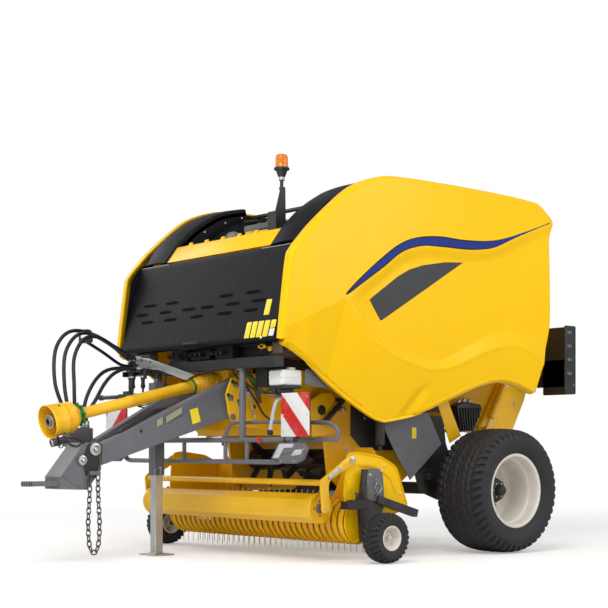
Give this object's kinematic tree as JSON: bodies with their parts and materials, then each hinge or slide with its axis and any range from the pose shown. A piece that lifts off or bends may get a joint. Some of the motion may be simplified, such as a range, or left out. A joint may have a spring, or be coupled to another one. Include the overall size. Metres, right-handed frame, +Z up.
{
  "type": "round baler",
  "caption": "Trailed belt-type round baler: full-width tine pick-up, belt chamber, swing-up tailgate, hinged side panels and hood, drawbar with ring hitch, parking jack.",
  "frame": {"origin": "middle of the machine's own footprint, on the floor", "axes": "+Z up, -Y the direction of travel (the drawbar points that way), +X the machine's left side"},
  "size_m": [3, 4.837, 3.152],
  "materials": {
    "tyre": "ribbed tread rubber",
    "wheel_paint": "pale enamel",
    "frame_paint": "grey enamel",
    "black_paint": "satin black enamel",
    "steel_yellow": "gloss yellow enamel",
    "panel_yellow": "gloss moulded panel",
    "hood_black": "satin moulded panel",
    "belt_rubber": "woven rubber belt",
    "hose_rubber": "smooth rubber",
    "guard_plastic": "moulded plastic",
    "bare_steel": "worn steel",
    "amber_lens": "tinted lens",
    "marker_white": "striped reflective board",
    "lamp_grey": "moulded lamp housing",
    "tank_white": "translucent tank"
  },
  "bodies": {
    "chassis": {"axle_beam": "black_paint", "main_frame": "frame_paint", "chamber": "steel_yellow", "front_belts": "belt_rubber", "gearbox": "steel_yellow", "drive_shaft_guard": "guard_plastic", "drawbar_leg_left": "frame_paint", "drawbar_leg_right": "frame_paint", "drawbar_head": "frame_paint", "jack_tube": "frame_paint", "shoulder_cover_left": "hood_black", "shoulder_cover_right": "hood_black", "front_crossbeam": "panel_yellow", "roof_frame": "black_paint", "beacon_mast": "black_paint", "beacon_lamp": "amber_lens", "front_rails": "frame_paint", "marker_board_left": "marker_white", "marker_board_right": "marker_white", "marker_lamp_left": "lamp_grey", "marker_lamp_right": "lamp_grey", "oil_tank": "tank_white", "hose_1": "hose_rubber", "hose_2": "hose_rubber", "hose_3": "hose_rubber", "hose_4": "hose_rubber", "hose_5": "hose_rubber", "hose_arm": "black_paint", "side_shield_left": "frame_paint", "side_shield_right": "frame_paint", "safety_chain": "bare_steel"},
    "drive_shaft": {"drive_shaft": "bare_steel"},
    "jack_leg": {"jack_leg": "bare_steel"},
    "wheel_left": {"tyre_left": "tyre", "wheel_rim_left": "wheel_paint"},
    "wheel_right": {"tyre_right": "tyre", "wheel_rim_right": "wheel_paint"},
    "front_hood": {"front_hood": "hood_black"},
    "side_panel_left": {"side_panel_left": "panel_yellow"},
    "side_panel_right": {"side_panel_right": "panel_yellow"},
    "tailgate": {"tailgate": "steel_yellow", "tailgate_belts": "belt_rubber", "rear_light_bar": "black_paint"},
    "ram_barrel_left": {"ram_barrel_left": "steel_yellow"},
    "ram_barrel_right": {"ram_barrel_right": "steel_yellow"},
    "ram_rod_left": {"ram_rod_left": "bare_steel"},
    "ram_rod_right": {"ram_rod_right": "bare_steel"},
    "feed_rotor": {"feed_rotor": "black_paint"},
    "pickup": {"pickup_side_left": "steel_yellow", "pickup_side_right": "steel_yellow", "pickup_bands": "steel_yellow", "gauge_bracket_left": "black_paint", "gauge_bracket_right": "black_paint"},
    "pickup_reel": {"pickup_reel": "bare_steel"},
    "wind_guard": {"wind_guard": "steel_yellow"},
    "guard_roller": {"guard_roller": "steel_yellow"},
    "gauge_wheel_left": {"gauge_wheel_left": "tyre"},
    "gauge_wheel_right": {"gauge_wheel_right": "tyre"}
  },
  "joints": [
    {"name": "wheel_left_spin", "type": "hinge", "parent": "chassis", "child": "wheel_left", "pos_m": [1.175, 1.3275, 0.51], "axis": [1, 0, 0], "continuous": true},
    {"name": "wheel_right_spin", "type": "hinge", "parent": "chassis", "child": "wheel_right", "pos_m": [-1.175, 1.3275, 0.51], "axis": [1, 0, 0], "continuous": true},
    {"name": "drive_shaft_spin", "type": "hinge", "parent": "chassis", "child": "drive_shaft", "pos_m": [0, -0.8005, 1.372], "axis": [0, -0.9744, -0.225], "continuous": true},
    {"name": "jack_slide", "type": "slide", "parent": "chassis", "child": "jack_leg", "axis": [0, 0, -1], "range_m": [0, 0.12]},
    {"name": "front_hood_hinge", "type": "hinge", "parent": "chassis", "child": "front_hood", "pos_m": [0, -0.6825, 2.352], "axis": [-1, 0, 0], "range_deg": [0, 75]},
    {"name": "side_panel_left_hinge", "type": "hinge", "parent": "chassis", "child": "side_panel_left", "pos_m": [1.03, 1.3275, 2.962], "axis": [0, -1, 0], "range_deg": [0, 65]},
    {"name": "side_panel_right_hinge", "type": "hinge", "parent": "chassis", "child": "side_panel_right", "pos_m": [-1.03, 1.3275, 2.962], "axis": [0, 1, 0], "range_deg": [0, 65]},
    {"name": "tailgate_hinge", "type": "hinge", "parent": "chassis", "child": "tailgate", "pos_m": [0, 1.0275, 2.8], "axis": [1, 0, 0], "range_deg": [0, 50]},
    {"name": "ram_left_swing", "type": "hinge", "parent": "chassis", "child": "ram_barrel_left", "pos_m": [0.7093, 0.7275, 2.3], "axis": [1, 0, 0], "range_deg": [0, 22]},
    {"name": "ram_left_stroke", "type": "slide", "parent": "ram_barrel_left", "child": "ram_rod_left", "axis": [0, 0.9864, 0.1644], "range_m": [0, 0.34]},
    {"name": "ram_right_swing", "type": "hinge", "parent": "chassis", "child": "ram_barrel_right", "pos_m": [-0.7093, 0.7275, 2.3], "axis": [1, 0, 0], "range_deg": [0, 22]},
    {"name": "ram_right_stroke", "type": "slide", "parent": "ram_barrel_right", "child": "ram_rod_right", "axis": [0, 0.9864, 0.1644], "range_m": [0, 0.34]},
    {"name": "feed_rotor_spin", "type": "hinge", "parent": "chassis", "child": "feed_rotor", "pos_m": [0, 0.1975, 0.76], "axis": [1, 0, 0], "continuous": true},
    {"name": "pickup_lift", "type": "hinge", "parent": "chassis", "child": "pickup", "pos_m": [0, 0.1475, 0.64], "axis": [-1, 0, 0], "range_deg": [0, 16]},
    {"name": "pickup_reel_spin", "type": "hinge", "parent": "pickup", "child": "pickup_reel", "pos_m": [0, -0.1625, 0.3], "axis": [1, 0, 0], "continuous": true},
    {"name": "wind_guard_lift", "type": "hinge", "parent": "pickup", "child": "wind_guard", "pos_m": [0, -0.2725, 0.77], "axis": [-1, 0, 0], "range_deg": [0, 25]},
    {"name": "guard_roller_spin", "type": "hinge", "parent": "wind_guard", "child": "guard_roller", "pos_m": [0, -0.5345, 0.408], "axis": [1, 0, 0], "continuous": true},
    {"name": "gauge_wheel_left_spin", "type": "hinge", "parent": "pickup", "child": "gauge_wheel_left", "pos_m": [1.42, -0.1725, 0.19], "axis": [1, 0, 0], "continuous": true},
    {"name": "gauge_wheel_right_spin", "type": "hinge", "parent": "pickup", "child": "gauge_wheel_right", "pos_m": [-1.42, -0.1725, 0.19], "axis": [1, 0, 0], "continuous": true}
  ],
  "couplings": [
    {"joint": "ram_left_swing", "follows": "tailgate_hinge", "ratio": 0.423},
    {"joint": "ram_left_stroke", "follows": "tailgate_hinge", "m_per_rad": 0.38172},
    {"joint": "ram_right_swing", "follows": "tailgate_hinge", "ratio": 0.423},
    {"joint": "ram_right_stroke", "follows": "tailgate_hinge", "m_per_rad": 0.38172}
  ]
}
